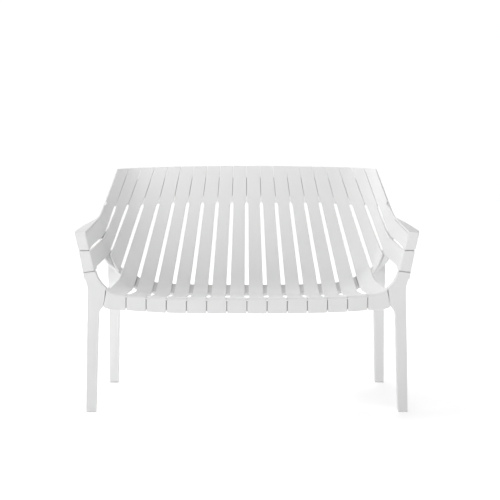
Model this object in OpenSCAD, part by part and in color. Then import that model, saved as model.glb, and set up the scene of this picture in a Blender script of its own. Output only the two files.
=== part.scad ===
// Two-seat slatted garden bench: twenty bent staves form back, seat and arms in one tub,
// held by four legs, five rails and hidden screws.
// Millimetres, +Z up, the sitter faces -Y, origin at the bottom centre of the whole bench.
// The tub is one surface with two coordinates:
//   lane  runs across, 0 at the left arm's top edge to 20 at the right arm's top edge
//   run   goes from the back's top edge (0) over the crease (2 to 3) to the front lip's end (7)

/* [Tub outlines] */
// Distance between the lane lines along the front edge
front_pitch = 70.9; // [68:0.1:72]
// Half length of the level part of the front edge
front_level = 451; // [440:1:460]
// Radius of the front edge's corner between seat and arm post
front_radius = 84; // [75:1:95]
// Angle that the arm post's inner edge rises at
front_angle = 76; // [72:1:80]
// Height of the seat's front edge in the middle
front_height = 411; // [390:1:440]
// Distance between the lane lines along the crease
crease_pitch = 71.25; // [69:0.25:73]
// Half length of the level part of the crease
crease_level = 376; // [365:1:390]
// Radius of the crease's upward bend under the arms
crease_radius = 156; // [140:1:170]
// Angle that the crease rises at beside the arms
crease_angle = 78; // [74:1:84]
// Height of the crease between seat and back in the middle
crease_height = 368; // [350:1:390]
// Distance of the crease behind the front face
seat_depth = 432; // [400:1:460]
// Distance between the lane lines along the top edge
top_pitch = 51.5; // [50:0.1:54]
// Half length of the straight part of the top edge
top_level = 372; // [350:1:400]
// Radius of the top edge's forward bend at its ends
top_radius = 190; // [160:1:220]
// Height of the top edge in the middle
top_height = 853; // [810:1:890]
// Distance of the top edge behind the front face, in the middle
top_back = 626; // [600:1:680]

/* [Staves] */
// Thickness of the staves
stave_thick = 8; // [6:0.5:10]
// Length of the closed band above the slots
band_length = 150; // [120:1:180]
// Width of the slots at their top end
slot_top = 12; // [8:0.5:14]
// Width of the slots in the crease and in the seat
slot_seat = 16.6; // [12:0.2:18]
// Distance of the slots' front ends behind the front edge
slot_margin = 62; // [50:1:90]
// Height of the front lip
lip_height = 57; // [46:0.5:66]
// Length that the crease's bend takes off each side
crease_trim = 62; // [40:1:75]
// Length that the front lip's bend takes off each side
lip_trim = 11; // [6:1:16]
// Widest part of the arm's flat top
arm_top = 45; // [38:1:50]

/* [Legs and rails] */
// Width of the front legs at the foot
front_leg_foot = 34; // [30:1:40]
// Depth of the front legs at the top
front_leg_depth = 46; // [40:1:56]
// Width of the rear legs at the foot
rear_leg_foot = 35.5; // [30:0.5:40]
// Distance of the rear foot's front edge behind the front face
rear_leg_back = 565; // [540:1:590]
// Depth of the rear legs at the foot
rear_leg_depth = 38; // [32:1:46]
// Thickness of the side rails
rail_thick = 20; // [14:1:24]
// Thickness of the foot glides
glide_thick = 3; // [3:0.5:5]

/* [Hidden] */

// Lanes and where the runs begin
lanes = 20;
middle = lanes / 2;
seat_first = 3;
seat_last = 17;
run_band = 1;
run_crease = 2;
run_seat = 3;
run_margin = 4;
run_lip_bend = 5;
run_lip = 6;
run_end = 7;
step = 0.004;

// Gaps between neighbouring staves
band_gap = 1.6;
margin_gap = 0.8;
lip_gap = 3;
fit_gap = 0.4;

// Shape of the tub away from its outlines
front_bow = 12;
front_end_cut = 6;
front_lift = 28;
front_lift_power = 3.8;
crease_lift = 56;
crease_lift_power = 7;
lift_half_width = 550;
top_drop = 10;
band_growth = 6.5;
corner_lip = [-12, 0, -66];
leg_step = 6;
top_angle = (middle * top_pitch - top_level) / top_radius * 180 / PI;

// Posts and legs, on the left side
post_out = [[-605, 636], [-591, 576], [-576.5, 498]];
leg_outer_top = [-560, 447];
leg_outer_foot = -570;
leg_inner_top = [-523.6, 352];
leg_fillet = [[-509, 371.5], [-516, 366], [-521.5, 358]];
rear_foot_outer = -541;
rear_outer = [[-533.5, 305], [-531.5, 487]];
rear_inner = [[-463, 381], [-469, 362], [-479, 343], [-490, 320], [-494, 296]];
rear_band_thick = 10;
rear_band_slant = 0.055;
rear_band_tip = 0.44;
rear_tip_lane = 2.75;
rear_tip_lanes = 0.75;
rail_first = 3.9;
rear_runs = [2.12, 2.2, 2.28, 2.36, 2.44];
rail_runs = [2.17, 2.25, 2.34, 2.42, 2.5, 2.58];
rail_rise = 0.125;
rear_joint = 16;
rail_step = (lanes - 2 * rail_first) / 28;
back_rail_first = 0.3;
back_rail_step = (lanes - 2 * back_rail_first) / 40;
back_rail_runs = [0.3, 0.55, 0.8];
front_rail_first = 3.12;
front_rail_step = (lanes - 2 * front_rail_first) / 32;
front_rail_runs = [6.05, 6.85];
side_rail_lanes = [3.14, 3.36, 3.58];
side_rail_runs = [3.05, 3.5, 4, 4.6];
back_screw_run = 0.55;
rear_screw_run = 2.37;
front_screw_run = 6.45;
strip_thick = 12;
arm_corner = 8;
slot_narrow = 0.5;
arm_slot_close = 4.6;
arm_slot_run = 2.5;
arm_slot_runs = 0.6;
top_root = 3;
top_slope = 0.07;
screw_radius = 2;
screw_head_radius = 4.5;
screw_head_height = 2.4;
screw_bite = 3;
frame_tone = "lightgray";
leg_tone = "whitesmoke";
glide_tone = "gainsboro";
steel = "silver";
stave_tone = "white";

function side(lane) = lane < middle ? -1 : 1;
function reach(lane) = abs(middle - lane);
function unit(v) = v / norm(v);
function mix(a, b, t) = a + (b - a) * t;

// A line that runs level, bends with a radius through an angle, and goes on straight
function bent(s, level, radius, angle) =
    let (arc = radius * angle * PI / 180)
    let (a = min(max(s - level, 0), arc) / radius * 180 / PI)
    let (rest = max(s - level - arc, 0))
    [min(s, level) + radius * sin(a) + rest * cos(angle), radius * (1 - cos(a)) + rest * sin(angle)];

// The three outlines that carry the tub
function front_point(lane) =
    let (s = reach(lane) * front_pitch - front_end_cut * max(0, reach(lane) - middle + 1))
    let (b = bent(s, front_level, front_radius, front_angle))
    let (bow = front_bow * max(0, 1 - pow(b[0] / front_level, 2)))
    let (lift = front_lift * pow(b[0] / lift_half_width, front_lift_power))
    [side(lane) * b[0], -bow, front_height + b[1] + lift];
function crease_point(lane) =
    let (b = bent(reach(lane) * crease_pitch, crease_level, crease_radius, crease_angle))
    let (lift = crease_lift * pow(b[0] / lift_half_width, crease_lift_power))
    [side(lane) * b[0], seat_depth, crease_height + b[1] + lift];
function top_point(lane) =
    let (b = bent(reach(lane) * top_pitch, top_level, top_radius, top_angle))
    [side(lane) * b[0], top_back - b[1], top_height - top_drop * pow(reach(lane) / middle, 2)];
function lip_vector(lane) =
    let (t = max(0, reach(lane) - 6))
    [side(lane) * -corner_lip[0] * t, 0, mix(-lip_height, corner_lip[2], t)];

function bezier(a, b, c, t) = mix(mix(a, b, t), mix(b, c, t), t);

// A point on the tub's inner face
function tub(lane, run) =
    let (top = top_point(lane))
    let (crease = crease_point(lane))
    let (front = front_point(lane))
    let (down = unit(crease - top))
    let (forward = unit(front - crease))
    let (band_end = top + down * (band_length + band_growth * max(0, reach(lane) - 5)))
    let (bend_start = crease - down * crease_trim)
    let (bend_end = crease + forward * crease_trim)
    let (slot_end = front - forward * slot_margin)
    let (lip_start = front - forward * lip_trim)
    let (lip_down = unit(lip_vector(lane)))
    let (lip_turned = front + lip_down * lip_trim)
    run <= run_band ? mix(top, band_end, run) :
    run <= run_crease ? mix(band_end, bend_start, run - run_band) :
    run <= run_seat ? bezier(bend_start, crease, bend_end, run - run_crease) :
    run <= run_margin ? mix(bend_end, slot_end, run - run_seat) :
    run <= run_lip_bend ? mix(slot_end, lip_start, run - run_margin) :
    run <= run_lip ? bezier(lip_start, front, lip_turned, run - run_lip_bend) :
    mix(lip_turned, front + lip_vector(lane), run - run_lip);

// The outward direction, away from the sitter
function outward(lane, run) =
    let (e = 0.02)
    unit(cross(tub(lane + e, run) - tub(lane - e, run), tub(lane, run + e) - tub(lane, run - e)));
function tub_out(lane, run, depth) = tub(lane, run) + outward(lane, run) * depth;

// The gap between two staves along the run
function gap(run) =
    run < run_band ? band_gap :
    run < run_seat ? mix(slot_top, slot_seat, (run - run_band) / 2) :
    run < run_margin ? slot_seat :
    run < run_lip ? margin_gap : lip_gap;

// Closed strip through a list of four-cornered rings
module strip(rings) {
    count = len(rings);
    points = [for (ring = rings) for (p = ring) p];
    sides = [for (i = [0 : count - 2]) for (k = [0 : 3])
        let (a = 4 * i + k, b = 4 * i + (k + 1) % 4)
        each [[a, b, b + 4], [a, b + 4, a + 4]]];
    last = 4 * (count - 1);
    ends = [[0, 2, 1], [0, 3, 2], [last, last + 1, last + 2], [last, last + 2, last + 3]];
    polyhedron(points, concat(sides, ends));
}

// Half the gap beside a lane line. The slots narrow towards the arms, and the slot between the
// arm slats runs up to the post.
function half_gap(line, run) =
    let (narrow = slot_narrow * max(0, reach(line) - 3))
    line == 1 && run > run_margin ? mix(slot_seat - narrow, lip_gap, run - run_margin) / 2 :
    run > run_band && run < run_margin ? (gap(run) - narrow) / 2 : gap(run) / 2;
function arm_rise(lane, run) =
    lane == 1 ? arm_slot_close * min(1, max(0, run - arm_slot_run) / arm_slot_runs)
        * min(1, max(0, run_lip_bend - run)) : 0;

function stave_ring(lane, run, open_left, open_right) =
    let (width = norm(tub(lane + 1, run) - tub(lane, run)))
    let (a = lane + (open_left ? half_gap(lane, run) - arm_rise(lane, run) : 0) / width)
    let (b = lane + 1 - (open_right ? half_gap(lane + 1, run) : 0) / width)
    [tub(a, run), tub(b, run), tub_out(b, run, stave_thick), tub_out(a, run, stave_thick)];

back_runs = [0, 0.5, run_band - step, run_band + step, 1.5, 2];
bend_runs = [2.12, 2.25, 2.38, 2.5, 2.62, 2.75, 2.88, 3];
seat_runs = [3.5, run_margin - step, run_margin + step, 5];
lip_runs = [5.25, 5.5, 5.75, run_lip - step, run_lip + step, run_end];
arm_runs = [3.3, 3.6, run_margin - step, run_margin + step];
arm_top_steps = [1, 0.9, 0.75, 0.6, 0.45, 0.3, 0.2, 0.11, 0.05, 0];

module stave(lane, runs) {
    left_open = lane > 0;
    right_open = lane < lanes - 1;
    strip([for (run = runs) stave_ring(lane, run, left_open, right_open)]);
}

module seat_stave(number) {
    color(stave_tone) stave(seat_first + number - 1, concat(back_runs, bend_runs, seat_runs, lip_runs));
}

// The short stave beside the side opening: it ends in the middle of the crease
module corner_stave() {
    color(stave_tone) stave(seat_first - 1, concat(back_runs, [2.12, 2.25, 2.38, 2.5]));
}

// An arm slat runs down the back, round the corner and forward to the post's front face
module arm_slat(lane) {
    runs = concat(back_runs, bend_runs, arm_runs);
    rings = [for (run = runs) stave_ring(lane, run, lane > 0, true)];
    front = [for (p = stave_ring(lane, run_lip_bend, lane > 0, true)) [p[0], 0, p[2]]];
    strip(concat(rings, [front]));
}

// The front face of the post above the leg: one block per arm slat, turned outward
module post_block(lane) {
    above = front_point(lane);
    below = front_point(lane + 1);
    groove = lip_gap / 2;
    drop = lane > 0 ? groove : 0;
    from_front(0, stave_thick)
        polygon([
            [above[0], above[2] - drop],
            [post_out[lane][0], post_out[lane][1] - drop],
            [post_out[lane + 1][0], post_out[lane + 1][1] + groove],
            [below[0], below[2] + groove]
        ]);
}

// Extrudes a front outline (x, z) backward between two depths
module from_front(near, far) {
    rotate([90, 0, 0]) translate([0, 0, -far]) linear_extrude(far - near) children();
}

// Extrudes a side outline (y, z) across a width, from x = low to x = high
module from_side(low, high) {
    translate([low, 0, 0]) rotate([90, 0, 90]) linear_extrude(high - low) children();
}

// The flat top of the arm, widest behind the post. It starts inside the slat's thickness
// and at the crease it is gone.
function arm_top_width(t) =
    top_root + 2 + (arm_top - top_root - 2) * (1 - pow(t, 1.6)) - arm_corner * max(0, 1 - t / 0.11);
function arm_top_ring(t) =
    let (front = front_point(0))
    let (edge = mix([front[0], 2, front[2]], tub(0, run_seat), t) - [0, 0, 0.4])
    let (width = arm_top_width(t))
    let (root = edge - [top_root, 0, 0])
    let (rim = edge - [width, 0, top_slope * width])
    let (down = [0, 0, -stave_thick])
    [root, root + down, rim + down, rim];

module arm_slat_upper() {
    color(stave_tone) {
        arm_slat(0);
        post_block(0);
        strip([for (t = arm_top_steps) arm_top_ring(t)]);
    }
}

module arm_slat_lower() {
    color(stave_tone) {
        arm_slat(1);
        post_block(1);
    }
}

// The rear leg's band: it starts later towards the arm, and from the side opening on it ends later
function band_run(lane, run) =
    let (first = rear_runs[0], last = rear_runs[len(rear_runs) - 1])
    let (start = first + rear_band_slant * max(0, rail_first - lane))
    let (end = last + rear_band_tip * min(1, max(0, (rear_tip_lane - lane) / rear_tip_lanes)))
    mix(start, end, (run - first) / (last - first));

// The rear seat rail lies a little higher up the back towards its ends
function rail_run(lane, run) = run - rail_rise * pow(reach(lane) / (middle - rail_first), 3);

function shaped_run(shape, lane, run) =
    shape == "band" ? band_run(lane, run) : shape == "rail" ? rail_run(lane, run) : run;

// A solid that follows the tub between two depths behind its inner face
module layer(across, runs, near, far, shape = "straight") {
    n = len(runs);
    m = len(across);
    points = [for (depth = [near, far]) for (lane = across) for (run = runs)
        tub_out(lane, shaped_run(shape, lane, run), depth)];
    skin = [for (i = [0 : m - 2]) for (k = [0 : n - 2])
        let (a = i * n + k, b = a + n, far_a = a + m * n, far_b = b + m * n)
        each [[a, b, b + 1], [a, b + 1, a + 1], [far_a, far_b + 1, far_b], [far_a, far_a + 1, far_b + 1]]];
    flanks = [for (k = [0 : n - 2])
        let (a = k, b = (m - 1) * n + k, far_a = a + m * n, far_b = b + m * n)
        each [[a, a + 1, far_a + 1], [a, far_a + 1, far_a], [b, far_b + 1, b + 1], [b, far_b, far_b + 1]]];
    rims = [for (i = [0 : m - 2])
        let (a = i * n, b = a + n, far_a = a + m * n, far_b = b + m * n, e = n - 1)
        each [[a, far_b, b], [a, far_a, far_b],
              [a + e, b + e, far_b + e], [a + e, far_b + e, far_a + e]]];
    polyhedron(points, concat(skin, flanks, rims));
}

rail_near = stave_thick + fit_gap;
rail_far = rail_near + strip_thick;

// Lanes across the bench from the first to its mirror image
function span(first, pace) = [for (lane = [first : pace : lanes - first + step]) lane];

// Curved strip behind the back's closed band
module back_rail() {
    color(frame_tone)
        layer(span(back_rail_first, back_rail_step), back_rail_runs, rail_near, rail_far);
}

// Strip behind and under the crease, between the rear legs
module rear_seat_rail() {
    color(frame_tone)
        layer(span(rail_first, rail_step), rail_runs, rail_near, rail_far, "rail");
}

// Strip behind the front lip, between the front legs
module front_seat_rail() {
    color(frame_tone)
        layer(span(front_rail_first, front_rail_step), front_rail_runs, rail_near, rail_far);
}

// Bar under the seat's outer edge, from the front rail to the rear rail
module side_rail() {
    color(frame_tone)
        layer(side_rail_lanes, side_rail_runs, rail_near, rail_near + rail_thick);
}

// The front leg rises into the corner of the post. Its face reaches the seat's first groove,
// and a stile behind the post's blocks carries the arm slats.
function front_xz(lane) = let (p = front_point(lane)) [p[0], p[2]];
function stile_xz(lane) = front_xz(lane) - (rail_near + 0.4) * [sin(front_angle), cos(front_angle)];

module front_leg() {
    groove = lip_gap / 2;
    corner = front_xz(seat_first);
    lip_end = corner + [corner_lip[0] - groove, corner_lip[2]];
    inner_edge = [for (lane = [2.03 : 0.11 : 2.8]) front_xz(lane)];
    outline = concat(
        inner_edge,
        [corner + [-leg_step, 0], lip_end + [-2, 0]],
        leg_fillet,
        [leg_inner_top, [leg_outer_foot + front_leg_foot, glide_thick]],
        [[leg_outer_foot, glide_thick], leg_outer_top],
        [post_out[2] - [0, groove]]
    );
    cheek = [
        front_xz(2.69), front_xz(2.8), front_xz(2.9), corner + [-groove, 0.3],
        lip_end, lip_end + [-5, 3], corner + [-leg_step - 6, 0]
    ];
    stile = [
        stile_xz(0.2), post_out[0] + [3, -12], post_out[1] + [3, 0],
        post_out[2] + [3, -24], [-536, 478], stile_xz(2) + [0, -1]
    ];
    profile = [
        [0, glide_thick], [front_leg_depth - 8, glide_thick], [front_leg_depth, 352],
        [front_leg_depth, 652], [0, 652]
    ];
    color(leg_tone) {
        intersection() {
            from_front(-1, front_leg_depth + 1) polygon(outline);
            from_side(-620, -440) polygon(profile);
        }
        from_front(0, stave_thick) polygon(cheek);
        from_front(rail_near, front_leg_depth) polygon(stile);
    }
}

// The rear leg leans forward to the crease, where its top is cut to the tub's shape and grows
// into a band that hugs the tub from outside
function above_crease(lane) =
    let (p = crease_point(lane), q = crease_point(lane - 0.1))
    let (along = unit([q[0] - p[0], q[2] - p[2]]))
    [p[0] + along[1] * rear_joint, p[2] - along[0] * rear_joint];

module rear_leg() {
    outline = concat(
        [[rear_foot_outer, glide_thick]],
        rear_outer,
        [for (lane = [2.3 : 0.2 : 3.5]) above_crease(lane)],
        rear_inner,
        [[rear_foot_outer + rear_leg_foot, glide_thick]]
    );
    profile = [
        [rear_leg_back, glide_thick], [rear_leg_back + rear_leg_depth, glide_thick],
        [536, 342], [505, 412], [490, 448], [484, 540], [440, 540], [440, 452], [452, 412], [492, 342]
    ];
    color(leg_tone) {
        layer([for (lane = [0.7 : 0.3 : rail_first - 0.1]) lane], rear_runs, rail_near,
            rail_near + rear_band_thick, "band");
        difference() {
            intersection() {
                from_front(400, 640) polygon(outline);
                from_side(-580, -400) polygon(profile);
            }
            layer([for (lane = [-0.2 : 0.4 : 4.3]) lane], concat([1.5, 2], bend_runs, [3.4]), -34,
                rail_near + fit_gap);
        }
    }
}

// Flat pad under a foot, with a plug that is pressed into the leg
module foot_glide(x, y, width, depth) {
    color(glide_tone) {
        translate([x, y, 0]) linear_extrude(glide_thick) square([width, depth]);
        translate([x + width / 2, y + depth / 2, 0]) cylinder(h = 15, r = 5);
    }
}

module foot_glide_front() {
    foot_glide(leg_outer_foot + 0.5, 0.5, front_leg_foot - 1, front_leg_depth - 9);
}

module foot_glide_rear() {
    foot_glide(rear_foot_outer + 0.5, rear_leg_back + 0.5, rear_leg_foot - 1, rear_leg_depth - 1);
}

// Pan-head screw whose head rests on a point and whose shank runs against a direction
module screw(point, direction, length) {
    translate(point)
        rotate([0, acos(direction[2]), atan2(direction[1], direction[0])]) {
            cylinder(h = screw_head_height, r = screw_head_radius);
            translate([0, 0, -length]) cylinder(h = length, r = screw_radius);
        }
}

module screw_on_tub(lane, run, depth) {
    screw(tub_out(lane, run, depth), outward(lane, run), depth - screw_bite);
}

module screws_back_rail() {
    color(steel)
        for (lane = [0 : lanes - 1])
            screw_on_tub(lane + 0.5, back_screw_run, rail_far);
}

module screws_rear_seat_rail() {
    color(steel)
        for (lane = [seat_first + 1 : seat_last - 2])
            screw_on_tub(lane + 0.5, rail_run(lane + 0.5, rear_screw_run), rail_far);
}

module screws_front_seat_rail() {
    color(steel)
        for (lane = [seat_first : seat_last - 1])
            screw_on_tub(lane + 0.5, front_screw_run, rail_far);
}

// The origin lies under the middle of the depth between the seat's front and the top edge
module at_centre() {
    middle_y = (tub_out(middle, 0, stave_thick)[1] + front_point(middle)[1]) / 2;
    translate([0, -middle_y, 0]) children();
}

module right() {
    mirror([1, 0, 0]) children();
}

at_centre() arm_slat_upper();  // arm_slat_upper_left
at_centre() arm_slat_lower();  // arm_slat_lower_left
at_centre() corner_stave();  // corner_stave_left
for (number = [1 : 14])
    at_centre() seat_stave(number);
at_centre() right() corner_stave();  // corner_stave_right
at_centre() right() arm_slat_lower();  // arm_slat_lower_right
at_centre() right() arm_slat_upper();  // arm_slat_upper_right
at_centre() front_leg();  // front_leg_left
at_centre() right() front_leg();  // front_leg_right
at_centre() rear_leg();  // rear_leg_left
at_centre() right() rear_leg();  // rear_leg_right
at_centre() back_rail();
at_centre() rear_seat_rail();
at_centre() front_seat_rail();
at_centre() side_rail();  // side_rail_left
at_centre() right() side_rail();  // side_rail_right
at_centre() foot_glide_front();  // foot_glide_front_left
at_centre() right() foot_glide_front();  // foot_glide_front_right
at_centre() foot_glide_rear();  // foot_glide_rear_left
at_centre() right() foot_glide_rear();  // foot_glide_rear_right
at_centre() screws_back_rail();
at_centre() screws_rear_seat_rail();
at_centre() screws_front_seat_rail();
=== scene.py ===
"""Looks of a two-seat slatted garden bench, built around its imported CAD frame, in metres."""

import math

import bmesh
import bpy
import numpy as np
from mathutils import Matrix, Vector


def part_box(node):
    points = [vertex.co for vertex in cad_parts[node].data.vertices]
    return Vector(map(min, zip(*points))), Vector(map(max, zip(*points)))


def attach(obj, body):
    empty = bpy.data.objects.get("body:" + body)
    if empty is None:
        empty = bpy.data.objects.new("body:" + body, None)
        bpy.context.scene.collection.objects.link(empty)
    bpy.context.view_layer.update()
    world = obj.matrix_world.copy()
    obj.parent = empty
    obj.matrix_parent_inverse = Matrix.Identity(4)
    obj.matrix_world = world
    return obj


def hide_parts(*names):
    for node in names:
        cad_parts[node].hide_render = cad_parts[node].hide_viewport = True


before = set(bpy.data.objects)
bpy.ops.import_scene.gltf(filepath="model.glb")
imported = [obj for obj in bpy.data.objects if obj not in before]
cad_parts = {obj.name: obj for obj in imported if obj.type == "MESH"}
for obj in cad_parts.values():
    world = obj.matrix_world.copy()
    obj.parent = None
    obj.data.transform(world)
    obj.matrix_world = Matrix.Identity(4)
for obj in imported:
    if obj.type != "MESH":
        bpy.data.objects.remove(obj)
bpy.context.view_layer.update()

MM = 0.001
# The design's zero depth is the front face of the posts and legs
FRONT_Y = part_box("front_leg_left")[0][1]

# Lane lines run from 0 at the left arm to 20 at the right arm; a reach counts from the middle one
LANES = 20
MIDDLE = 10
SEAT_FIRST = 3
SEAT_LAST = 17

# Outlines of the tub, the same driving values as the CAD part, in millimetres and radians
FRONT_PITCH = 70.9
FRONT_LEVEL = 451.0
FRONT_RADIUS = 84.0
FRONT_ANGLE = math.radians(76)
FRONT_HEIGHT = 411.0
FRONT_BOW = 12.0
FRONT_END_CUT = 6.0
FRONT_LIFT = 28.0
FRONT_LIFT_POWER = 3.8
CREASE_PITCH = 71.25
CREASE_LEVEL = 376.0
CREASE_RADIUS = 156.0
CREASE_ANGLE = math.radians(78)
CREASE_HEIGHT = 368.0
CREASE_LIFT = 56.0
CREASE_LIFT_POWER = 7.0
SEAT_DEPTH = 432.0
LIFT_HALF_WIDTH = 550.0
TOP_PITCH = 51.5
TOP_LEVEL = 372.0
TOP_RADIUS = 190.0
TOP_HEIGHT = 853.0
TOP_BACK = 626.0
TOP_DROP = 10.0
TOP_ANGLE = (MIDDLE * TOP_PITCH - TOP_LEVEL) / TOP_RADIUS

# Staves, the slots between them and the grooves where they close up
STAVE_THICK = 8.0
BAND_LENGTH = 150.0
BAND_GROWTH = 6.5
BAND_GROWTH_REACH = 5
SLOT_TOP = 12.0
SLOT_SEAT = 16.6
SLOT_MARGIN = 62.0
SLOT_NARROW = 0.5
SLOT_NARROW_REACH = 3
SLOT_END_RADIUS = 5.0
LIP_HEIGHT = 57.0
CORNER_LIP = (-12.0, -66.0)
CORNER_LIP_REACH = 6
CREASE_TRIM = 62.0
LIP_TRIM = 11.0
BAND_GAP = 1.6
MARGIN_GAP = 0.5
LIP_GAP = 3.0
SOFT_EDGE = 2.0
BAND_EDGE = 1.1
MARGIN_EDGE = 0.35
FINEST_EDGE = 0.25
END_RADIUS = 2.4
END_STEPS = np.array([0.0, 0.18, 0.5, 1.0, 1.6, 2.4])
END_INSETS = END_RADIUS - np.sqrt(END_RADIUS ** 2 - (END_RADIUS - END_STEPS) ** 2)
SLOT_END_STEPS = np.array([0.0, 0.1, 0.4, 0.9, 1.7, 2.8, 4.0, 5.0])
ACROSS = (0, 0.25, 0.5, 0.75, 1)
SLOPE_STEP = 0.02

# Arms and posts on the left side
POST_OUT = np.array([(-605.0, 636.0), (-591.0, 576.0), (-576.5, 498.0)])
POST_BEND = 7.0
ARM_TOP = 45.0
ARM_TIP = 5.0
ARM_CORNER = 8.0
ARM_SLOPE = 0.07
ARM_SLOT_CLOSE = 4.6
ARM_SLOT_RUN = 2.5
ARM_SLOT_RUNS = 0.6

# Rails: each spans some lanes and some of the run, behind or under the staves
RAIL_NEAR = STAVE_THICK + 0.4
STRIP_THICK = 12.0
STRIP_FAR = RAIL_NEAR + STRIP_THICK
RAIL_THICK = 20.0
BACK_RAIL_FIRST = 0.3
BACK_RAIL_RUNS = (0.3, 0.8)
REAR_RAIL_FIRST = 3.9
REAR_RAIL_RUNS = (2.17, 2.58)
REAR_RAIL_RISE = 0.125
FRONT_RAIL_FIRST = 3.12
FRONT_RAIL_RUNS = (6.05, 6.85)
SIDE_RAIL_LANES = (3.14, 3.58)
SIDE_RAIL_RUNS = (3.05, 4.6)
BACK_SCREW_RUN = 0.55
REAR_SCREW_RUN = 2.37
FRONT_SCREW_RUN = 6.45

# Legs and foot glides on the left side
GLIDE_THICK = 3.0
FRONT_LEG_DEPTH = 46.0
FRONT_LEG_TAPER = 8.0
LEG_FOOT = (-570.0, -536.0)
LEG_OUTER_TOP = (-560.0, 447.0)
LEG_INNER_TOP = (-523.6, 352.0)
LEG_FILLET = ((-509.0, 371.5), (-516.0, 366.0), (-521.5, 358.0))
STILE_INNER = (-536.0, 478.0)
REAR_FOOT = (-541.0, -505.5)
REAR_OUTER = ((-533.5, 305.0), (-531.5, 487.0))
REAR_INNER = ((-463.0, 381.0), (-469.0, 362.0), (-479.0, 343.0), (-490.0, 320.0), (-494.0, 296.0))
REAR_LEG_BACK = 565.0
REAR_LEG_DEPTH = 38.0
REAR_JOINT = 16.0
REAR_BAND_RUNS = (2.12, 2.44)
REAR_BAND_SLANT = 0.055
REAR_BAND_TIP = 0.44
REAR_TIP_LANE = 2.75
REAR_TIP_LANES = 0.75
REAR_BAND_THICK = 10.0


# ---------------------------------------------------------------- the tub's surface

def bent(s, level, radius, angle):
    """A line that runs level, bends with a radius through an angle, and goes on straight."""
    arc = radius * angle
    a = np.clip(s - level, 0, arc) / radius
    rest = np.maximum(s - level - arc, 0)
    along = np.minimum(s, level) + radius * np.sin(a) + rest * math.cos(angle)
    return along, radius * (1 - np.cos(a)) + rest * math.sin(angle)


def front_point(lane):
    """The front edge: level in the middle, rising at its ends as the posts' inner edge."""
    side = np.sign(lane - MIDDLE)
    reach = np.abs(lane - MIDDLE)
    length = reach * FRONT_PITCH - FRONT_END_CUT * np.maximum(0, reach - MIDDLE + 1)
    along, up = bent(length, FRONT_LEVEL, FRONT_RADIUS, FRONT_ANGLE)
    bow = FRONT_BOW * np.maximum(0, 1 - (along / FRONT_LEVEL) ** 2)
    lift = FRONT_LIFT * (along / LIFT_HALF_WIDTH) ** FRONT_LIFT_POWER
    return np.stack([side * along, -bow, FRONT_HEIGHT + up + lift], -1)


def crease_point(lane):
    """The line between seat and back, which rises beside the arms."""
    side = np.sign(lane - MIDDLE)
    reach = np.abs(lane - MIDDLE)
    along, up = bent(reach * CREASE_PITCH, CREASE_LEVEL, CREASE_RADIUS, CREASE_ANGLE)
    lift = CREASE_LIFT * (along / LIFT_HALF_WIDTH) ** CREASE_LIFT_POWER
    return np.stack([side * along, SEAT_DEPTH + 0 * along, CREASE_HEIGHT + up + lift], -1)


def top_point(lane):
    """The back's top edge, which bends forward at its ends."""
    side = np.sign(lane - MIDDLE)
    reach = np.abs(lane - MIDDLE)
    along, back = bent(reach * TOP_PITCH, TOP_LEVEL, TOP_RADIUS, TOP_ANGLE)
    drop = TOP_DROP * (reach / MIDDLE) ** 2
    return np.stack([side * along, TOP_BACK - back, TOP_HEIGHT - drop], -1)


def lip_vector(lane):
    """The lip's fall from the front edge; it leans outward at the corner staves."""
    side = np.sign(lane - MIDDLE)
    t = np.maximum(0, np.abs(lane - MIDDLE) - CORNER_LIP_REACH)
    fall = -LIP_HEIGHT + (CORNER_LIP[1] + LIP_HEIGHT) * t
    return np.stack([side * -CORNER_LIP[0] * t, 0 * t, fall], -1)


def unit(v):
    return v / np.linalg.norm(v, axis=-1, keepdims=True)


def mix(a, b, t):
    return a + (b - a) * t


def bezier(a, b, c, t):
    return mix(mix(a, b, t), mix(b, c, t), t)


def tub(lane, run):
    """Points on the tub's inner face. The run is 0 at the top edge, 1 where the slots start,
    2 to 3 round the crease, 4 where the slots end, 5 to 6 round the front edge, 7 at the lip."""
    lane, run = np.broadcast_arrays(np.asarray(lane, float), np.asarray(run, float))
    t = run[..., None]
    top = top_point(lane)
    crease = crease_point(lane)
    front = front_point(lane)
    down = unit(crease - top)
    forward = unit(front - crease)
    growth = BAND_GROWTH * np.maximum(0, np.abs(MIDDLE - lane) - BAND_GROWTH_REACH)
    band_end = top + down * (BAND_LENGTH + growth)[..., None]
    bend_start = crease - down * CREASE_TRIM
    bend_end = crease + forward * CREASE_TRIM
    slot_end = front - forward * SLOT_MARGIN
    lip_start = front - forward * LIP_TRIM
    lip = lip_vector(lane)
    lip_turned = front + unit(lip) * LIP_TRIM
    parts = [
        mix(top, band_end, t),
        mix(band_end, bend_start, t - 1),
        bezier(bend_start, crease, bend_end, t - 2),
        mix(bend_end, slot_end, t - 3),
        mix(slot_end, lip_start, t - 4),
        bezier(lip_start, front, lip_turned, t - 5),
        mix(lip_turned, front + lip, t - 6),
    ]
    return np.select([t <= k for k in range(1, 7)], parts[:6], parts[6])


def outward(lane, run):
    """The direction away from the sitter."""
    across = tub(lane + SLOPE_STEP, run) - tub(lane - SLOPE_STEP, run)
    along = tub(lane, run + SLOPE_STEP) - tub(lane, run - SLOPE_STEP)
    return unit(np.cross(across, along))


def tub_out(lane, run, depth):
    """Points at a depth outside the tub's inner face."""
    return tub(lane, run) + outward(lane, run) * np.asarray(depth, float)[..., None]


# ---------------------------------------------------------------- rings and sweeps

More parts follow.
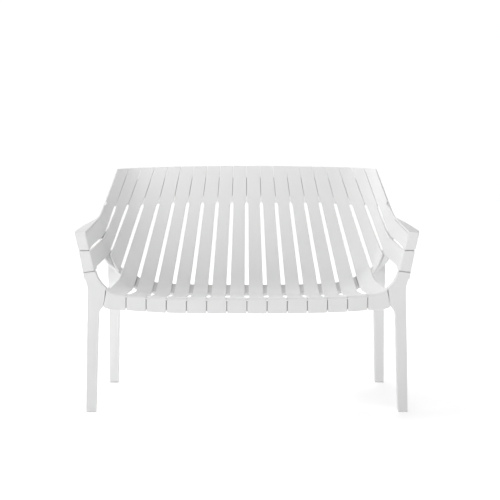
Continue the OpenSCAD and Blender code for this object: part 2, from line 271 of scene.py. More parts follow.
def rounded(before, corner, after, radius, count):
    """Points round a corner between its two neighbours; radius is one value per ring."""
    to_before = before - corner
    to_after = after - corner
    long_before = np.linalg.norm(to_before, axis=-1, keepdims=True)
    long_after = np.linalg.norm(to_after, axis=-1, keepdims=True)
    reach = np.asarray(radius, float) * np.ones(len(corner))
    start = corner + to_before / long_before * np.minimum(reach[:, None], 0.45 * long_before)
    end = corner + to_after / long_after * np.minimum(reach[:, None], 0.45 * long_after)
    return [bezier(start, corner, end, t) for t in np.linspace(0, 1, count)]


def ring_of(points, radii, count=5):
    """One closed ring per station: points with a radius are rounded, the others are kept."""
    n = len(points)
    ring = []
    for k in range(n):
        if radii[k] is None:
            ring.append(points[k])
        else:
            ring += rounded(points[k - 1], points[k], points[(k + 1) % n], radii[k], count)
    return np.stack(ring, 1)


def swept(rings):
    """Vertices and faces of a closed sweep through rings, an array (stations, ring, 3)."""
    stations, size = rings.shape[:2]
    faces = []
    for i in range(stations - 1):
        for k in range(size):
            a = i * size + k
            b = i * size + (k + 1) % size
            faces.append((a, b, b + size, a + size))
    faces.append(tuple(range(size))[::-1])
    faces.append(tuple(range((stations - 1) * size, stations * size)))
    return rings.reshape(-1, 3), faces


def to_frame(points):
    """Design millimetres to the frame's metres."""
    return np.asarray(points, float) * MM + np.array([0, FRONT_Y, 0])


def build(name, parts, mirrored=False):
    """One object from closed parts, each a pair of design points and faces."""
    mesh = bpy.data.meshes.new(name)
    made = bmesh.new()
    for points, faces in parts:
        placed = to_frame(points)
        if mirrored:
            placed = placed * np.array([-1, 1, 1])
        verts = [made.verts.new(p) for p in placed]
        for face in faces:
            made.faces.new([verts[i] for i in face])
    bmesh.ops.recalc_face_normals(made, faces=made.faces)
    for face in made.faces:
        face.smooth = True
    made.to_mesh(mesh)
    made.free()
    piece = bpy.data.objects.new(name, mesh)
    bpy.context.scene.collection.objects.link(piece)
    return piece


def even_shading(piece):
    modifier = piece.modifiers.new("even_shading", "WEIGHTED_NORMAL")
    modifier.keep_sharp = True
    modifier.weight = 70


def finish_piece(piece, material, node):
    piece.data.materials.append(material)
    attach(piece, "root")
    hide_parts(node)


# ---------------------------------------------------------------- staves

def run_length(lane, low, high):
    """Length of a straight stretch of the run."""
    return float(np.linalg.norm(tub(lane, low) - tub(lane, high)))


def slot_narrow(lane):
    """How much half a slot loses towards the arms."""
    return SLOT_NARROW / 2 * max(0, abs(MIDDLE - lane) - SLOT_NARROW_REACH)


def gap_at(lane, runs):
    """Half the gap beside a stave, with round ends to the slots."""
    slot = mix(SLOT_TOP, SLOT_SEAT, np.clip((runs - 1) / 2, 0, 1)) / 2 - slot_narrow(lane)
    after_top = (runs - 1) * run_length(lane, 1.0, 2.0)
    before_end = (4 - runs) * run_length(lane, 3.0, 4.0)
    inside = np.clip(np.minimum(after_top, before_end) / SLOT_END_RADIUS, 0, 1)
    grown = np.sqrt(1 - (1 - inside) ** 2)
    closed = np.where(runs < 2, BAND_GAP / 2, MARGIN_GAP / 2)
    lip = np.clip((runs - 5.55) / 0.3, 0, 1)
    closed = mix(closed, LIP_GAP / 2, lip * lip * (3 - 2 * lip))
    return mix(closed, slot, grown)


def slat_radius(runs):
    """Radius of a slat's long edges, finer in the closed band."""
    band = np.clip((1.02 - runs) / 0.04, 0, 1)
    return mix(SOFT_EDGE, BAND_EDGE, band)


def edge_radius(runs):
    """Radius of a stave's long edges: finest where the seat closes up in front of the slots."""
    margin = np.clip((runs - 3.97) / 0.06, 0, 1) * np.clip((5.9 - runs) / 0.3, 0, 1)
    return mix(slat_radius(runs), MARGIN_EDGE, margin)


def stations(lane, last):
    """Runs at which a stave's rings stand, closer where the shape changes."""
    after_top = 1 + SLOT_END_STEPS / run_length(lane, 1.0, 2.0)
    before_end = 4 - SLOT_END_STEPS[::-1] / run_length(lane, 3.0, 4.0)
    back = [np.linspace(0, 0.98, 9), after_top, np.linspace(1.1, 1.98, 9)]
    bend = [np.linspace(2, 3, 22)]
    seat = [np.linspace(3.05, 3.9, 7), before_end, np.linspace(4.1, 4.97, 5)]
    lip = [np.linspace(5, 6, 14), np.linspace(6.08, 7, 7)]
    every = back + bend + (seat if last > 3 else []) + (lip if last > 5 else [])
    runs = np.unique(np.round(np.concatenate(every), 6))
    return runs[runs <= last + 1e-9]


def end_insets(lane, runs):
    """Adds close stations at both ends and gives each station's inset for a round end."""
    first = END_STEPS / float(np.linalg.norm(tub(lane, runs[0]) - tub(lane, runs[0] + 0.1))) * 0.1
    last = END_STEPS / float(np.linalg.norm(tub(lane, runs[-1]) - tub(lane, runs[-1] - 0.1))) * 0.1
    keep = (runs > runs[0] + first[-1]) & (runs < runs[-1] - last[-1])
    all_runs = np.concatenate([runs[0] + first, runs[keep], (runs[-1] - last)[::-1]])
    return all_runs, np.concatenate([END_INSETS, np.zeros(keep.sum()), END_INSETS[::-1]])


def slab_radii(radius, insets):
    """Radii for ring_of of a slab with five points on each face; only its edges are round."""
    edge = np.maximum(radius - insets * 0.6, FINEST_EDGE)
    return [edge, None, None, None, edge] * 2


def stave_rings(lane, runs, insets):
    """Rounded rings of one stave."""
    width = np.linalg.norm(tub(lane + 1, runs) - tub(lane, runs), axis=-1)
    half = gap_at(lane + 0.5, runs)
    a = lane + (half + insets) / width
    b = lane + 1 - (half + insets) / width
    inner = [tub_out(mix(a, b, t), runs, insets) for t in ACROSS]
    outer = [tub_out(mix(a, b, t), runs, STAVE_THICK - insets) for t in ACROSS[::-1]]
    return ring_of(inner + outer, slab_radii(edge_radius(runs), insets))


def stave(lane, last):
    """A stave between a lane line and the next, from the top edge down to the last run."""
    runs, insets = end_insets(lane + 0.5, stations(lane + 0.5, last))
    return swept(stave_rings(lane, runs, insets))


def seat_stave(number):
    return stave(SEAT_FIRST + number - 1, 7)


def corner_stave():
    """The stave that ends at the side opening, half way round the crease."""
    return stave(SEAT_FIRST - 1, 2.5)


# ---------------------------------------------------------------- arm slats

def post_point(lane, t):
    """A point on the post's front face: t runs from the tub's edge to the post's outer edge."""
    whole = np.clip(lane, 0, 2)
    outer_x = np.interp(whole, (0, 1, 2), POST_OUT[:, 0])
    outer_z = np.interp(whole, (0, 1, 2), POST_OUT[:, 1])
    end = np.stack([outer_x, 0 * outer_x, outer_z], -1)
    return mix(front_point(lane), end, np.asarray(t, float)[..., None])


def arm_point(lane, way):
    """Inner face of an arm slat. Way is the run up to 4, 4 to 5 up to the post's bend,
    5 to 6 round the bend, and 6 to 7 across the post's front."""
    lane, way = np.broadcast_arrays(np.asarray(lane, float), np.asarray(way, float))
    t = way[..., None]
    front = front_point(lane)
    before = tub(lane, 4.0)
    forward = unit(front - before)
    outer = post_point(lane, np.ones(lane.shape))
    bend_start = front - forward * POST_BEND
    bend_end = front + unit(outer - front) * POST_BEND
    parts = [
        tub(lane, np.minimum(way, 4.0)),
        mix(before, bend_start, t - 4),
        bezier(bend_start, front, bend_end, t - 5),
        mix(bend_end, outer, t - 6),
    ]
    return np.select([t <= 4, t <= 5, t <= 6], parts[:3], parts[3])


def arm_outward(lane, way):
    """Away from the sitter along the arm, and backward across the post."""
    turn = np.clip(way - 5, 0, 1)[..., None]
    aside = outward(lane, np.minimum(way, 3.9))
    return unit(mix(aside, np.array([0.0, 1.0, 0.0]), turn))


def arm_face(lane, way, depth):
    """Points at a depth outside an arm slat's inner face."""
    return arm_point(lane, way) + arm_outward(lane, way) * depth[:, None]


def arm_gap(lane, ways):
    """Half the gap below a slat's lower edge along its way. The slot between the two arm slats
    runs up to the post, and the lower slat's free edge closes in before it."""
    if lane < 1:
        narrowing = mix(SLOT_SEAT / 2 - slot_narrow(lane), LIP_GAP / 2, np.clip(ways - 4, 0, 1))
        return np.where(ways < 4, gap_at(lane, np.minimum(ways, 3.0)), narrowing)
    closed = mix(MARGIN_GAP / 2, LIP_GAP / 2, np.clip((ways - 5.3) / 0.5, 0, 1))
    return np.where(ways < 4, gap_at(lane, np.minimum(ways, 4.0)), closed)


def arm_rise(ways):
    """How much the lower slat's upper edge stands higher, which narrows the slot."""
    grown = np.clip((ways - ARM_SLOT_RUN) / ARM_SLOT_RUNS, 0, 1)
    return ARM_SLOT_CLOSE * grown * np.clip(5 - ways, 0, 1)


def arm_stations():
    """Ways at which an arm slat's rings stand."""
    before_end = 4 - SLOT_END_STEPS / run_length(0.5, 3.0, 4.0)
    seat = [np.linspace(3.05, 3.95, 10), before_end, np.linspace(4.1, 4.95, 6)]
    post = [np.linspace(5, 6, 9), np.linspace(6.15, 7, 6)]
    return np.unique(np.round(np.concatenate([stations(0.5, 3)] + seat + post), 6))


def arm_insets(ways):
    """Round ends at the back's top edge and at the post's outer edge."""
    post_width = 30.0
    first = END_STEPS / BAND_LENGTH
    last = 7 - END_STEPS[::-1] / post_width
    keep = (ways > first[-1]) & (ways < last[0])
    joined = np.concatenate([first, ways[keep], last])
    return joined, np.concatenate([END_INSETS, np.zeros(keep.sum()), END_INSETS[::-1]])


def arm_slat(a, b, ways, insets):
    """An arm slat between two edges, each given as a lane at every way."""
    inner = [arm_face(mix(a, b, t), ways, insets) for t in ACROSS]
    outer = [arm_face(mix(a, b, t), ways, STAVE_THICK - insets) for t in ACROSS[::-1]]
    return swept(ring_of(inner + outer, slab_radii(slat_radius(ways), insets)))


def arm_slat_lower():
    ways, insets = arm_insets(arm_stations())
    width = np.linalg.norm(arm_point(2.0, ways) - arm_point(1.0, ways), axis=-1)
    below = arm_gap(1.5, ways)
    below = np.where(ways > 5, mix(below, LIP_GAP / 2, np.clip(ways - 5.5, 0, 1)), below)
    a = 1 + (arm_gap(0.5, ways) - arm_rise(ways) + insets) / width
    b = 2 - (below + insets) / width
    return arm_slat(a, b, ways, insets)


def arm_slat_upper():
    """The upper arm slat's blade, which arm_top completes."""
    ways, insets = arm_insets(arm_stations())
    width = np.linalg.norm(arm_point(1.0, ways) - arm_point(0.0, ways), axis=-1)
    a = 0 + insets / width
    b = 1 - (arm_gap(0.5, ways) + insets) / width
    return arm_slat(a, b, ways, insets)


def arm_top():
    """The arm's flat top as a slab with round edges, flush with the slat's inner face."""
    blade_rings = 38
    edge_length = 430.0
    edge = 2.0
    steps = np.array([0.0, 0.2, 0.6, 1.2, 2.0])
    t = np.concatenate([steps / edge_length, np.linspace(0.012, 1, blade_rings) ** 1.2])
    inset = np.concatenate([edge - np.sqrt(edge ** 2 - (edge - steps) ** 2), np.zeros(blade_rings)])[:, None]
    front = front_point(np.zeros(1))[0]
    line = mix(np.array([front[0], -0.2, front[2]]), tub(0.0, 3.0), t[:, None])
    width = ARM_TIP + (ARM_TOP - ARM_TIP) * (1 - t ** 1.6) - ARM_CORNER * np.maximum(0, 1 - t / 0.11)
    # The top stands a hair proud of the slat, and sinks into it at the rear end
    cover = 0.15 * np.clip((1 - t) / 0.2, 0, 1) - 0.6 * np.clip((t - 0.9) / 0.1, 0, 1)
    root = line + cover[:, None] * np.array([1.0, 0, 1.0])
    rim = root + np.array([-1.0, 0, -ARM_SLOPE]) * width[:, None]
    low_rim = rim + np.array([0.0, 0, -1.0]) * (STAVE_THICK - 0.5)
    lean = unit(front_point(np.array([0.3])) - front_point(np.array([0.0])))[0]
    under = root + lean * STAVE_THICK
    root = root + np.array([0, 0, -1.0]) * inset
    rim = rim + np.array([1.0, 0, -1.0]) * inset
    low_rim = low_rim + np.array([1.0, 0, 1.0]) * inset
    under = under + np.array([0, 0, 1.0]) * inset
    points = [root, mix(root, rim, 0.5), rim, low_rim, mix(under, low_rim, 0.5), under]
    radii = [np.full(len(t), 2.6), None, np.full(len(t), 2.8), np.full(len(t), 2.8), None, None]
    return swept(ring_of(points, radii))


# ---------------------------------------------------------------- rails and rear bands

def band_end(lanes):
    """How far the rear leg's band reaches further down beyond the side opening's corner."""
    return REAR_BAND_TIP * np.clip((REAR_TIP_LANE - lanes) / REAR_TIP_LANES, 0, 1)


def rail_rise(lanes):
    """How much higher up the back the rear seat rail lies towards its ends."""
    return REAR_RAIL_RISE * (np.abs(MIDDLE - lanes) / (MIDDLE - REAR_RAIL_FIRST)) ** 3


def hugging_strip(lanes, runs, far, slant=0.0, radius=2.5, rise=0.0):
    """A strip with round edges that follows the tub's outside along the lanes, out to a depth.
    A slant lowers its upper edge towards the arm and adds the band's tip; a rise lifts it."""
    ends = np.ones(len(lanes))
    low = runs[0] + slant * np.maximum(0, REAR_RAIL_FIRST - lanes) - rise
    high = runs[1] + (band_end(lanes) if slant else 0 * lanes) - rise
    steps = np.linspace(0, 1, 9)
    cells = [tub_out(lanes, mix(low, high, t), RAIL_NEAR * ends) for t in steps]
    cells += [tub_out(lanes, mix(low, high, t), far * ends) for t in steps[::-1]]
    face = [radius * ends] + [None] * 7 + [radius * ends]
    return swept(ring_of(cells, face + face))


def full_rail(first_lane, count, runs):
    """A strip across the bench, from a lane to its mirror image."""
    return hugging_strip(np.linspace(first_lane, LANES - first_lane, count), runs, STRIP_FAR)


def back_rail():
    return full_rail(BACK_RAIL_FIRST, 120, BACK_RAIL_RUNS)


def rear_seat_rail():
    lanes = np.linspace(REAR_RAIL_FIRST, LANES - REAR_RAIL_FIRST, 90)
    return hugging_strip(lanes, REAR_RAIL_RUNS, STRIP_FAR, rise=rail_rise(lanes))


def front_seat_rail():
    return full_rail(FRONT_RAIL_FIRST, 90, FRONT_RAIL_RUNS)


def side_rail():
    return hugging_strip(np.linspace(*SIDE_RAIL_LANES, 6), SIDE_RAIL_RUNS, RAIL_NEAR + RAIL_THICK)


# ---------------------------------------------------------------- legs

def front_xz(lane):
    """A point of the front edge in the front view."""
    p = front_point(np.array([float(lane)]))[0]
    return np.array([p[0], p[2]])


def prism_faces(n):
    """Two caps of n points each, and the sides between them."""
    faces = [tuple(range(n)), tuple(range(n, 2 * n))[::-1]]
    for k in range(n):
        faces.append((k, n + k, n + (k + 1) % n, (k + 1) % n))
    return faces


def prism(outline, near, far):
    """Closed prism of a front outline (x, z); near and far give the depth at each height."""
    front = [(x, near(z), z) for x, z in outline]
    back = [(x, far(z), z) for x, z in outline]
    return np.array(front + back), prism_faces(len(outline))


def smooth_line(points, count):
    """A soft line through a few points."""
    points = np.array(points, float)
    length = np.concatenate([[0], np.cumsum(np.linalg.norm(np.diff(points, axis=0), axis=1))])
    at = np.linspace(0, length[-1], count)
    x = np.interp(at, length, points[:, 0])
    z = np.interp(at, length, points[:, 1])
    for _ in range(6):
        x[1:-1] = (x[:-2] + 2 * x[1:-1] + x[2:]) / 4
        z[1:-1] = (z[:-2] + 2 * z[1:-1] + z[2:]) / 4
    return list(zip(x, z))


def front_leg_depth(z):
    """The leg is deepest from its inner top upward and narrows towards the foot."""
    heights = (GLIDE_THICK, LEG_INNER_TOP[1])
    return float(np.interp(z, heights, (FRONT_LEG_DEPTH - FRONT_LEG_TAPER, FRONT_LEG_DEPTH)))


def leg_line(z, foot_x, top):
    """A point of a leg's straight side at a height."""
    return float(np.interp(z, (GLIDE_THICK, top[1]), (foot_x, top[0]))), z


def front_leg_outline():
    """The front leg and the post's lower block in the front view."""
    groove = LIP_GAP / 2
    corner = front_xz(SEAT_FIRST)
    lip_end = corner + np.array([CORNER_LIP[0] - groove, CORNER_LIP[1]])
    inner = [tuple(front_xz(lane)) for lane in np.linspace(2.03, 2.97, 26)]
    leg_top = (LEG_INNER_TOP[0], LEG_INNER_TOP[1] - 17)
    fillet = smooth_line([lip_end + (-1.5, -0.5), *LEG_FILLET, LEG_INNER_TOP, leg_top], 18)
    down = [leg_line(z, LEG_FOOT[1], LEG_INNER_TOP) for z in (300, 200, 100)]
    foot = [(LEG_FOOT[1], GLIDE_THICK), (LEG_FOOT[0], GLIDE_THICK)]
    up = [leg_line(z, LEG_FOOT[0], LEG_OUTER_TOP) for z in (150, 300)]
    post_end = (POST_OUT[2, 0], POST_OUT[2, 1] - groove)
    outer = smooth_line([(LEG_OUTER_TOP[0] - 1.1, LEG_OUTER_TOP[1] - 42), LEG_OUTER_TOP, post_end], 20)
    return inner + [tuple(lip_end)] + fillet + down + foot + up + outer


def stile_outline():
    """The stile behind the post's blocks in the front view."""
    lean = np.array([math.sin(FRONT_ANGLE), math.cos(FRONT_ANGLE)]) * (RAIL_NEAR + 0.4)
    return [
        tuple(front_xz(0.2) - lean),
        tuple(POST_OUT[0] + (3, -12)),
        tuple(POST_OUT[1] + (3, 0)),
        tuple(POST_OUT[2] + (3, -24)),
        STILE_INNER,
        tuple(front_xz(2) - lean + (0, -1)),
    ]


def front_leg_parts():
    leg = prism(front_leg_outline(), lambda z: 0.0, front_leg_depth)
    return [leg, prism(stile_outline(), lambda z: RAIL_NEAR, lambda z: FRONT_LEG_DEPTH)]


def side_prism(profile, low, high):
    """Closed prism of a side profile (y, z) from x = low to x = high."""
    points = [(low, y, z) for y, z in profile] + [(high, y, z) for y, z in profile]
    return np.array(points), prism_faces(len(profile))


def above_crease(lane):
    """A point of the front view a little above the crease line."""
    here, beside = crease_point(np.array([lane, lane - 0.1]))
    along = unit(np.array([beside[0] - here[0], beside[2] - here[2]]))
    return here[0] + along[1] * REAR_JOINT, here[2] - along[0] * REAR_JOINT


def rear_outline():
    """The rear leg's column in the front view."""
    top = [above_crease(lane) for lane in np.linspace(2.3, 3.5, 13)]
    return [(REAR_FOOT[0], GLIDE_THICK), *REAR_OUTER, *top, *REAR_INNER, (REAR_FOOT[1], GLIDE_THICK)]


def rear_profile():
    """The rear leg's column in the side view."""
    foot = [(REAR_LEG_BACK, GLIDE_THICK), (REAR_LEG_BACK + REAR_LEG_DEPTH, GLIDE_THICK)]
    back = [(536, 342), (505, 412), (490, 448), (484, 540)]
    front = [(440, 540), (440, 452), (452, 412), (492, 342)]
    return foot + back + front


def shell_cutter():
    """The room that the staves take, to cut the rear leg's top to their shape."""
    lanes = np.linspace(-0.2, 4.3, 40)
    inside = np.full(40, -40.0)
    outside = np.full(40, RAIL_NEAR + 0.3)
    runs = np.concatenate([[1.4, 1.7, 2.0], np.linspace(2.05, 3, 16), [3.4]])
    cells = [tub_out(lanes, np.full(40, run), inside) for run in runs]
    cells += [tub_out(lanes, np.full(40, run), outside) for run in runs[::-1]]
    return swept(np.stack(cells, 1))


def bake(piece):
    """Turns a piece's modifiers into its mesh."""
    deps = bpy.context.evaluated_depsgraph_get()
    mesh = bpy.data.meshes.new_from_object(piece.evaluated_get(deps))
    old = piece.data
    piece.modifiers.clear()
    piece.data = mesh
    bpy.data.meshes.remove(old)


def boolean(piece, other, operation):
    modifier = piece.modifiers.new(operation, "BOOLEAN")
    modifier.operation = operation
    modifier.object = other
    modifier.solver = "EXACT"


def soften(piece):
    """Gives a joined piece one even mesh and blends its parts softly into each other."""
    remesh = piece.modifiers.new("even_mesh", "REMESH")
    remesh.mode = "VOXEL"
    remesh.voxel_size = 0.002
    remesh.use_smooth_shade = True
    soft = piece.modifiers.new("soft_joint", "SMOOTH")
    soft.factor = 0.5
    soft.iterations = 7
    bake(piece)


def rear_leg(name, mirrored):
    """A column cut to the staves' outside, blended with a band that turns round the tub."""
    column = build(name, [prism(rear_outline(), lambda z: 400.0, lambda z: 640.0)], mirrored)
    room = build(name + "_profile", [side_prism(rear_profile(), -580.0, -400.0)], mirrored)
    cutter = build(name + "_room", [shell_cutter()], mirrored)
    lanes = np.linspace(0.7, REAR_RAIL_FIRST - 0.06, 40)
    far = RAIL_NEAR + REAR_BAND_THICK
    strip = hugging_strip(lanes, REAR_BAND_RUNS, far, REAR_BAND_SLANT, 3.0)
    band = build(name + "_band", [strip], mirrored)
    boolean(column, room, "INTERSECT")
    boolean(column, cutter, "DIFFERENCE")
    boolean(column, band, "UNION")
    bake(column)
    soften(column)
    for helper in (room, cutter, band):
        bpy.data.objects.remove(helper)
    return column


# ---------------------------------------------------------------- small parts

def glide(low_x, low_y, width, depth):
    """A foot pad with round edges."""
    base = [(0, 0), (width, 0), (width, depth), (0, depth)]
    levels = ((0.8, 0.0), (0.2, 0.25), (0.0, 0.7), (0.0, 2.6), (0.2, 3.0))
    corners = []
    for x, y in base:
        sign_x = 1 if x == 0 else -1
        sign_y = 1 if y == 0 else -1
        row = [(low_x + x + sign_x * inset, low_y + y + sign_y * inset, z) for inset, z in levels]
        corners.append(np.array(row))
    return swept(ring_of(corners, [np.full(len(levels), 4.0)] * 4, 6))


def circle_row(radius_at, height, sides=24):
    """A closed row round the Z axis whose radius may change with the angle."""
    angles = [2 * math.pi * k / sides for k in range(sides)]
    return [(radius_at(a) * math.cos(a), radius_at(a) * math.sin(a), height) for a in angles]


def hexagon_radius(angle):
    """Radius of a hexagon that is 3 mm across its flats."""
    return 1.5 / math.cos((angle + math.pi / 6) % (math.pi / 3) - math.pi / 6)


def screw(point, direction):
    """A pan-head screw's head with a hexagon recess."""
    turn = Vector(direction).to_track_quat("Z", "Y").to_matrix()
    profile = ((2.0, -0.4), (4.5, -0.4), (4.5, 0.9), (4.2, 1.6), (3.5, 2.15), (2.5, 2.4), (1.9, 2.4))
    rows = [circle_row(lambda a: radius, height) for radius, height in profile]
    rows += [circle_row(hexagon_radius, height) for height in (2.3, 0.9)]
    return swept(np.array([[np.array(turn @ Vector(p)) + np.array(point) for p in row] for row in rows]))


def screws(lanes, run, rises=False):
    """Screw heads on a rail's far face, one in the middle of each lane."""
    parts = []
    for lane in lanes:
        at = np.array([lane + 0.5])
        there = run - (rail_rise(at) if rises else np.zeros(1))
        point = tub_out(at, there, np.array([STRIP_FAR]))[0]
        parts.append(screw(point, outward(at, there)[0]))
    return parts


# ---------------------------------------------------------------- materials

def grey(value):
    return (value, value, value)


def node_material(name, color, shade, roughness, spread, grain, bump, metallic=0.0):
    """A procedural material. Broad noise mixes color and shade, spread varies the roughness,
    and grain is the size in metres of the surface's finest marks."""
    material = bpy.data.materials.new(name)
    material.use_nodes = True
    nodes = material.node_tree.nodes
    links = material.node_tree.links
    surface = nodes["Principled BSDF"]
    surface.inputs["Metallic"].default_value = metallic
    place = nodes.new("ShaderNodeTexCoord")

    broad = nodes.new("ShaderNodeTexNoise")
    broad.inputs["Scale"].default_value = 7.0
    broad.inputs["Detail"].default_value = 4.0
    links.new(place.outputs["Object"], broad.inputs["Vector"])
    tint = nodes.new("ShaderNodeMix")
    tint.data_type = "RGBA"
    tint.inputs["A"].default_value = (*shade, 1)
    tint.inputs["B"].default_value = (*color, 1)
    links.new(broad.outputs["Fac"], tint.inputs["Factor"])
    links.new(tint.outputs["Result"], surface.inputs["Base Color"])

    patches = nodes.new("ShaderNodeTexNoise")
    patches.inputs["Scale"].default_value = 45.0
    patches.inputs["Detail"].default_value = 5.0
    links.new(place.outputs["Object"], patches.inputs["Vector"])
    rough = nodes.new("ShaderNodeMapRange")
    rough.inputs["From Min"].default_value = 0.3
    rough.inputs["From Max"].default_value = 0.7
    rough.inputs["To Min"].default_value = roughness - spread
    rough.inputs["To Max"].default_value = roughness + spread
    links.new(patches.outputs["Fac"], rough.inputs["Value"])
    links.new(rough.outputs["Result"], surface.inputs["Roughness"])

    fine = nodes.new("ShaderNodeTexNoise")
    fine.inputs["Scale"].default_value = 1 / grain
    fine.inputs["Detail"].default_value = 2.0
    links.new(place.outputs["Object"], fine.inputs["Vector"])
    relief = nodes.new("ShaderNodeBump")
    relief.inputs["Strength"].default_value = bump
    relief.inputs["Distance"].default_value = 0.0002
    links.new(fine.outputs["Fac"], relief.inputs["Height"])
    links.new(relief.outputs["Normal"], surface.inputs["Normal"])
    return material


def moulded_white():
    return node_material("moulded_white", grey(0.81), grey(0.79), 0.45, 0.05, 0.0011, 0.22)


def leg_white():
    return node_material("leg_white", grey(0.81), grey(0.79), 0.47, 0.05, 0.0011, 0.22)


# The rails' mid grey is painted shade: they sit in shade behind and under the white staves, so they are
# coloured darker than the staves.
def rail_painted_shade():
    return node_material("rail_painted_shade", grey(0.65), grey(0.63), 0.5, 0.05, 0.0013, 0.25)


def glide_rubber():
    pale = (0.74, 0.74, 0.73)
    dark = (0.70, 0.70, 0.69)
    return node_material("glide_rubber", pale, dark, 0.7, 0.06, 0.0008, 0.4)


def screw_steel():
    pale = (0.64, 0.64, 0.65)
    dark = (0.58, 0.58, 0.59)
    return node_material("screw_steel", pale, dark, 0.33, 0.06, 0.0005, 0.15, metallic=1.0)


# ---------------------------------------------------------------- the bench

def make_piece(node, parts, material, mirrored=False):
    piece = build(node + "_piece", parts, mirrored)
    even_shading(piece)
    finish_piece(piece, material, node)


def round_edges(piece):
    edges = piece.modifiers.new("round_edges", "BEVEL")
    edges.width = 0.0025
    edges.segments = 4
    edges.limit_method = "ANGLE"
    edges.angle_limit = math.radians(40)
    edges.use_clamp_overlap = True


def make_side(side, mirrored, white, leg_tone, rail_shade_tone, rubber):
    """The pieces of the left side, or their mirror images."""
    front_glide = glide(LEG_FOOT[0] + 0.5, 0.5, 33.0, 37.0)
    rear_glide = glide(REAR_FOOT[0] + 0.5, REAR_LEG_BACK + 0.5, 34.5, 37.0)
    make_piece(f"corner_stave_{side}", [corner_stave()], white, mirrored)
    make_piece(f"arm_slat_lower_{side}", [arm_slat_lower()], white, mirrored)
    make_piece(f"arm_slat_upper_{side}", [arm_slat_upper(), arm_top()], white, mirrored)
    make_piece(f"side_rail_{side}", [side_rail()], rail_shade_tone, mirrored)
    make_piece(f"foot_glide_front_{side}", [front_glide], rubber, mirrored)
    make_piece(f"foot_glide_rear_{side}", [rear_glide], rubber, mirrored)
    front = build(f"front_leg_{side}_piece", front_leg_parts(), mirrored)
    round_edges(front)
    even_shading(front)
    finish_piece(front, leg_tone, f"front_leg_{side}")
    rear = rear_leg(f"rear_leg_{side}_piece", mirrored)
    finish_piece(rear, leg_tone, f"rear_leg_{side}")


def make_screws(steel):
    seat_lanes = range(SEAT_FIRST, SEAT_LAST)
    rear_lanes = range(SEAT_FIRST + 1, SEAT_LAST - 1)
    make_piece("screws_back_rail", screws(range(LANES), BACK_SCREW_RUN), steel)
    make_piece("screws_rear_seat_rail", screws(rear_lanes, REAR_SCREW_RUN, True), steel)
    make_piece("screws_front_seat_rail", screws(seat_lanes, FRONT_SCREW_RUN), steel)


def make_bench():
    white = moulded_white()
    leg_tone = leg_white()
    # The rails' darker grey is painted shade, not a colour of their own.
    rail_shade_tone = rail_painted_shade()
    rubber = glide_rubber()
    steel = screw_steel()
    for number in range(1, SEAT_LAST - SEAT_FIRST + 1):
        make_piece(f"seat_stave_{number}", [seat_stave(number)], white)
    make_side("left", False, white, leg_tone, rail_shade_tone, rubber)
    make_side("right", True, white, leg_tone, rail_shade_tone, rubber)
    make_piece("back_rail", [back_rail()], rail_shade_tone)
    make_piece("rear_seat_rail", [rear_seat_rail()], rail_shade_tone)
    make_piece("front_seat_rail", [front_seat_rail()], rail_shade_tone)
    make_screws(steel)


# ---------------------------------------------------------------- studio

def floor_material():
    """Pale floor that glows softly, less under the bench than far from it."""
    material = bpy.data.materials.new("pale_floor")
    material.use_nodes = True
    nodes = material.node_tree.nodes
    links = material.node_tree.links
    surface = nodes["Principled BSDF"]
    surface.inputs["Base Color"].default_value = (0.85, 0.85, 0.85, 1)
    surface.inputs["Roughness"].default_value = 0.8
    surface.inputs["Emission Color"].default_value = (1, 1, 1, 1)
    place = nodes.new("ShaderNodeTexCoord")
    distance = nodes.new("ShaderNodeVectorMath")
    distance.operation = "LENGTH"
    glow = nodes.new("ShaderNodeMapRange")
    glow.interpolation_type = "SMOOTHSTEP"
    glow.inputs["From Min"].default_value = 0.9
    glow.inputs["From Max"].default_value = 3.2
    glow.inputs["To Min"].default_value = 0.48
    glow.inputs["To Max"].default_value = 1.05
    links.new(place.outputs["Object"], distance.inputs[0])
    links.new(distance.outputs["Value"], glow.inputs["Value"])
    links.new(glow.outputs["Result"], surface.inputs["Emission Strength"])
    return material


def make_floor():
    half = 12.0
    corners = ((-half, -half, 0), (half, -half, 0), (half, half, 0), (-half, half, 0))
    mesh = bpy.data.meshes.new("floor")
    made = bmesh.new()
    made.faces.new([made.verts.new(corner) for corner in corners])
    made.to_mesh(mesh)
    made.free()
    floor = bpy.data.objects.new("floor", mesh)
    bpy.context.scene.collection.objects.link(floor)
    floor.data.materials.append(floor_material())


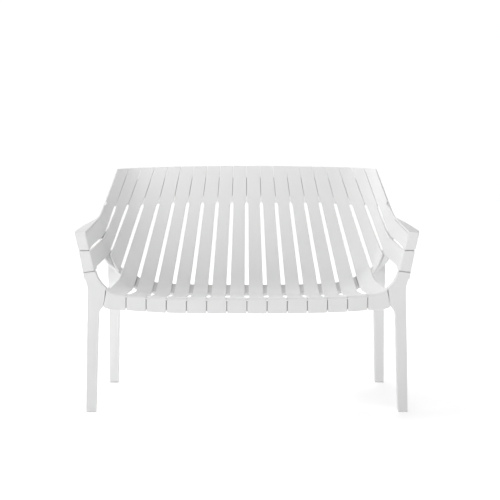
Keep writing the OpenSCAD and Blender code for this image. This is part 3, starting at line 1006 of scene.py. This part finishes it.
def area_light(name, place, target, size, energy):
    data = bpy.data.lights.new(name, "AREA")
    data.shape = "RECTANGLE"
    data.size = size[0]
    data.size_y = size[1]
    data.energy = energy
    lamp = bpy.data.objects.new(name, data)
    lamp.location = place
    lamp.rotation_euler = (Vector(target) - Vector(place)).to_track_quat("-Z", "Y").to_euler()
    bpy.context.scene.collection.objects.link(lamp)


def make_world():
    """White near the horizon and dim overhead, so that the lamps shape the bench."""
    world = bpy.data.worlds.new("studio")
    bpy.context.scene.world = world
    world.use_nodes = True
    nodes = world.node_tree.nodes
    links = world.node_tree.links
    place = nodes.new("ShaderNodeTexCoord")
    parts = nodes.new("ShaderNodeSeparateXYZ")
    fade = nodes.new("ShaderNodeMapRange")
    fade.interpolation_type = "SMOOTHSTEP"
    fade.inputs["From Min"].default_value = 0.10
    fade.inputs["From Max"].default_value = 0.22
    fade.inputs["To Min"].default_value = 1.02
    fade.inputs["To Max"].default_value = 0.02
    links.new(place.outputs["Generated"], parts.inputs[0])
    links.new(parts.outputs["Z"], fade.inputs["Value"])
    links.new(fade.outputs["Result"], nodes["Background"].inputs["Strength"])
    nodes["Background"].inputs["Color"].default_value = (1, 1, 1, 1)


def make_lights():
    """Soft lamps from above, stronger from the left, so that the bench's left inside is in shade."""
    aim = (0, 0.1, 0.45)
    area_light("left_high", (-3.2, 0.2, 2.6), aim, (2.4, 2.4), 66)
    area_light("above_front", (0, -2.2, 3.4), aim, (3.0, 2.0), 44)
    area_light("overhead", (0, 0.6, 3.4), aim, (1.4, 1.4), 22)
    area_light("above_back", (0, 2.6, 3.2), aim, (3.0, 2.0), 44)
    area_light("left_front", (-2.8, -3.2, 1.6), aim, (2.0, 2.0), 13)


def make_camera():
    """A long lens in front of the bench, above the back's top edge and looking slightly down."""
    aside = 0.0102
    distance = 4.9
    height = 1.032
    pitch = math.radians(5.294)
    yaw = math.radians(0.245)
    data = bpy.data.cameras.new("camera")
    data.sensor_width = 36
    data.lens = 101.016
    camera = bpy.data.objects.new("camera", data)
    bpy.context.scene.collection.objects.link(camera)
    camera.location = (-aside, FRONT_Y - distance, height)
    camera.rotation_euler = (math.pi / 2 - pitch, 0, -yaw)
    bpy.context.scene.camera = camera
    bpy.context.scene.view_settings.view_transform = "Standard"


make_bench()
make_floor()
make_world()
make_lights()
make_camera()
